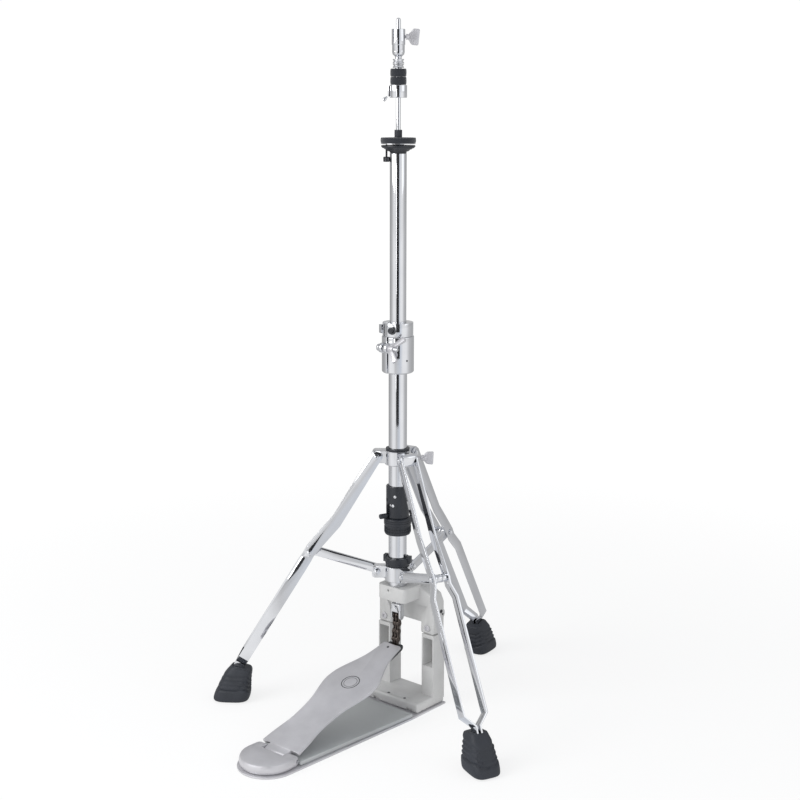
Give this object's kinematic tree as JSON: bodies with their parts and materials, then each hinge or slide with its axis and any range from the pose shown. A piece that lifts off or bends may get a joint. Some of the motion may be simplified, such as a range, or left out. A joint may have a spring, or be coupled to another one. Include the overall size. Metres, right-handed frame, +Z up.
{
  "type": "hi-hat stand",
  "caption": "Free-standing hi-hat stand: telescoping chrome column on a double-braced tripod, with a chain-driven footboard, return spring, tilting cymbal seat and clutch on a pull rod.",
  "frame": {"origin": "on the floor plane, on the column's vertical axis", "axes": "+Z up along the column; -Y from the column towards the heel of the footboard, where the player sits; +X to the player's right when facing the column"},
  "size_m": [0.5212, 0.6316, 1.07],
  "materials": {
    "chrome": "polished chrome plate on steel",
    "satin": "satin cast aluminium",
    "casting": "bead-blasted cast aluminium",
    "sheet": "grey satin sheet steel",
    "steel": "dark bright steel",
    "nylon": "black moulded nylon",
    "felt": "black pressed felt",
    "rubber": "dark grey-blue moulded rubber"
  },
  "bodies": {
    "base": {"bottom_plate": "sheet", "base_panel": "sheet", "heel_casting": "satin", "heel_hinge_pin": "chrome", "frame": "casting", "frame_head": "casting", "frame_screw_left": "satin", "frame_screw_right": "satin", "lower_tube": "chrome", "spring_sleeve": "nylon", "clamp_body": "chrome", "clamp_bushing": "nylon", "clamp_bolt": "chrome", "lower_lock_ring": "nylon", "return_spring": "steel"},
    "footboard": {"footboard": "satin", "toe_bracket": "steel"},
    "pull_rod": {"pull_yoke": "chrome", "lower_rod": "chrome", "rod_coupler": "chrome", "upper_rod": "chrome", "spring_collar": "steel"},
    "chain": {"drive_chain": "steel"},
    "tension_ring": {"tension_ring": "nylon"},
    "spring_perch": {"spring_perch": "steel", "tension_lever": "nylon"},
    "clamp_wing": {"clamp_wing_nut": "satin"},
    "memory_lock": {"memory_lock_ring": "chrome", "memory_lock_bolt": "steel"},
    "upper_tube": {"upper_tube": "chrome", "seat_base": "nylon"},
    "tilt_screw": {"tilt_screw": "steel"},
    "seat": {"seat_plate": "chrome", "seat_felt": "felt", "seat_sleeve": "rubber"},
    "clutch": {"clutch_body": "chrome", "upper_clutch_felt": "felt", "lower_clutch_felt": "felt"},
    "clutch_wing": {"clutch_wing_screw": "satin"},
    "upper_lock_nut": {"upper_lock_nut": "chrome"},
    "lower_lock_nut": {"lower_lock_nut": "chrome"},
    "bottom_nut": {"bottom_nut": "chrome"},
    "release_lever": {"release_lever": "chrome"},
    "tripod": {"lower_collar": "chrome"},
    "upper_collar": {"upper_collar": "chrome", "collar_bushing": "nylon"},
    "collar_wing": {"collar_wing_screw": "satin"},
    "leg_1": {"leg_1_bar_a": "chrome", "leg_1_bar_b": "chrome", "rubber_foot_1": "rubber"},
    "brace_1": {"brace_1": "chrome"},
    "leg_2": {"leg_2_bar_a": "chrome", "leg_2_bar_b": "chrome", "rubber_foot_2": "rubber"},
    "brace_2": {"brace_2": "chrome"},
    "leg_3": {"leg_3_bar_a": "chrome", "leg_3_bar_b": "chrome", "rubber_foot_3": "rubber"},
    "brace_3": {"brace_3": "chrome"}
  },
  "joints": [
    {"name": "footboard_press", "type": "hinge", "parent": "base", "child": "footboard", "pos_m": [0, -0.272, 0.012], "axis": [1, 0, 0], "range_deg": [-8.5, 0], "stiffness_Nm_per_rad": 43.7, "springref_deg": 7.1},
    {"name": "pull_rod_slide", "type": "slide", "parent": "base", "child": "pull_rod", "axis": [0, 0, 1], "range_m": [-0.0405, 0], "deforming": ["return_spring"]},
    {"name": "chain_swing", "type": "hinge", "parent": "pull_rod", "child": "chain", "pos_m": [0, 0, 0.14855], "axis": [1, 0, 0], "range_deg": [0, 11.2]},
    {"name": "tension_ring_turn", "type": "hinge", "parent": "base", "child": "tension_ring", "pos_m": [0, 0, 0.3], "axis": [0, 0, 1], "range_deg": [0, 120]},
    {"name": "perch_slide", "type": "slide", "parent": "base", "child": "spring_perch", "axis": [0, 0, 1], "range_m": [0, 0.0121]},
    {"name": "tube_height", "type": "slide", "parent": "base", "child": "upper_tube", "axis": [0, 0, 1], "range_m": [-0.085, 0.04]},
    {"name": "clamp_wing_turn", "type": "hinge", "parent": "base", "child": "clamp_wing", "pos_m": [0.013, -0.0305, 0.585], "axis": [1, 0, 0], "range_deg": [-360, 30]},
    {"name": "memory_lock_slide", "type": "slide", "parent": "base", "child": "memory_lock", "axis": [0, 0, 1], "range_m": [0, 0.08]},
    {"name": "tilt_screw_turn", "type": "hinge", "parent": "upper_tube", "child": "tilt_screw", "pos_m": [-0.01333, -0.01134, 0.87], "axis": [0, 0, 1], "range_deg": [0, 375]},
    {"name": "seat_tilt", "type": "hinge", "parent": "upper_tube", "child": "seat", "pos_m": [0, 0, 0.897], "axis": [-0.6481, 0.7615, 0], "range_deg": [0, 3.02]},
    {"name": "clutch_slide", "type": "slide", "parent": "pull_rod", "child": "clutch", "axis": [0, 0, 1], "range_m": [-0.044, 0.014]},
    {"name": "clutch_wing_turn", "type": "hinge", "parent": "clutch", "child": "clutch_wing", "pos_m": [0.01142, 0.00972, 1.043], "axis": [0.7615, 0.6481, 0], "range_deg": [-360, 30]},
    {"name": "upper_lock_nut_turn", "type": "hinge", "parent": "clutch", "child": "upper_lock_nut", "pos_m": [0, 0, 1.0084], "axis": [0, 0, 1], "range_deg": [-360, 0]},
    {"name": "lower_lock_nut_turn", "type": "hinge", "parent": "clutch", "child": "lower_lock_nut", "pos_m": [0, 0, 1.0019], "axis": [0, 0, 1], "range_deg": [-360, 0]},
    {"name": "bottom_nut_turn", "type": "hinge", "parent": "clutch", "child": "bottom_nut", "pos_m": [0, 0, 0.965], "axis": [0, 0, 1], "range_deg": [-360, 0]},
    {"name": "release_lever_lift", "type": "hinge", "parent": "bottom_nut", "child": "release_lever", "pos_m": [-0.01264, -0.01076, 0.9572], "axis": [0.6481, -0.7615, 0], "range_deg": [-40, 0], "stiffness_Nm_per_rad": 0.01},
    {"name": "tripod_swivel", "type": "hinge", "parent": "base", "child": "tripod", "pos_m": [0, 0, 0.2166], "axis": [0, 0, 1], "range_deg": [-48, 4]},
    {"name": "upper_collar_slide", "type": "slide", "parent": "tripod", "child": "upper_collar", "axis": [0, 0, 1], "range_m": [0, 0.108]},
    {"name": "collar_wing_turn", "type": "hinge", "parent": "upper_collar", "child": "collar_wing", "pos_m": [0.03182, 0.02424, 0.4084], "axis": [0.7955, 0.606, 0], "range_deg": [-360, 30]},
    {"name": "leg_1_fold", "type": "hinge", "parent": "upper_collar", "child": "leg_1", "pos_m": [-0.02585, -0.01969, 0.4114], "axis": [0.606, -0.7955, 0], "range_deg": [0, 26.12]},
    {"name": "brace_1_rise", "type": "hinge", "parent": "tripod", "child": "brace_1", "pos_m": [-0.02593, -0.01976, 0.224], "axis": [-0.606, 0.7955, 0], "range_deg": [0, 60.77]},
    {"name": "leg_2_fold", "type": "hinge", "parent": "upper_collar", "child": "leg_2", "pos_m": [0.02998, -0.01254, 0.4114], "axis": [0.3859, 0.9225, 0], "range_deg": [0, 26.12]},
    {"name": "brace_2_rise", "type": "hinge", "parent": "tripod", "child": "brace_2", "pos_m": [0.03007, -0.01258, 0.224], "axis": [-0.3859, -0.9225, 0], "range_deg": [0, 60.77]},
    {"name": "leg_3_fold", "type": "hinge", "parent": "upper_collar", "child": "leg_3", "pos_m": [-0.00413, 0.03224, 0.4114], "axis": [-0.9919, -0.1271, 0], "range_deg": [0, 26.12]},
    {"name": "brace_3_rise", "type": "hinge", "parent": "tripod", "child": "brace_3", "pos_m": [-0.00414, 0.03234, 0.224], "axis": [0.9919, 0.1271, 0], "range_deg": [0, 60.77]}
  ],
  "couplings": [
    {"joint": "pull_rod_slide", "follows": "footboard_press", "m_per_rad": 0.27225},
    {"joint": "chain_swing", "follows": "footboard_press", "ratio": -1.2996},
    {"joint": "perch_slide", "follows": "tension_ring_turn", "m_per_rad": 0.0057296},
    {"joint": "seat_tilt", "follows": "tilt_screw_turn", "ratio": 0.008},
    {"joint": "leg_1_fold", "follows": "upper_collar_slide", "rad_per_m": 4.2136},
    {"joint": "brace_1_rise", "follows": "upper_collar_slide", "rad_per_m": 9.8131},
    {"joint": "leg_2_fold", "follows": "upper_collar_slide", "rad_per_m": 4.2136},
    {"joint": "brace_2_rise", "follows": "upper_collar_slide", "rad_per_m": 9.8131},
    {"joint": "leg_3_fold", "follows": "upper_collar_slide", "rad_per_m": 4.2136},
    {"joint": "brace_3_rise", "follows": "upper_collar_slide", "rad_per_m": 9.8131}
  ]
}
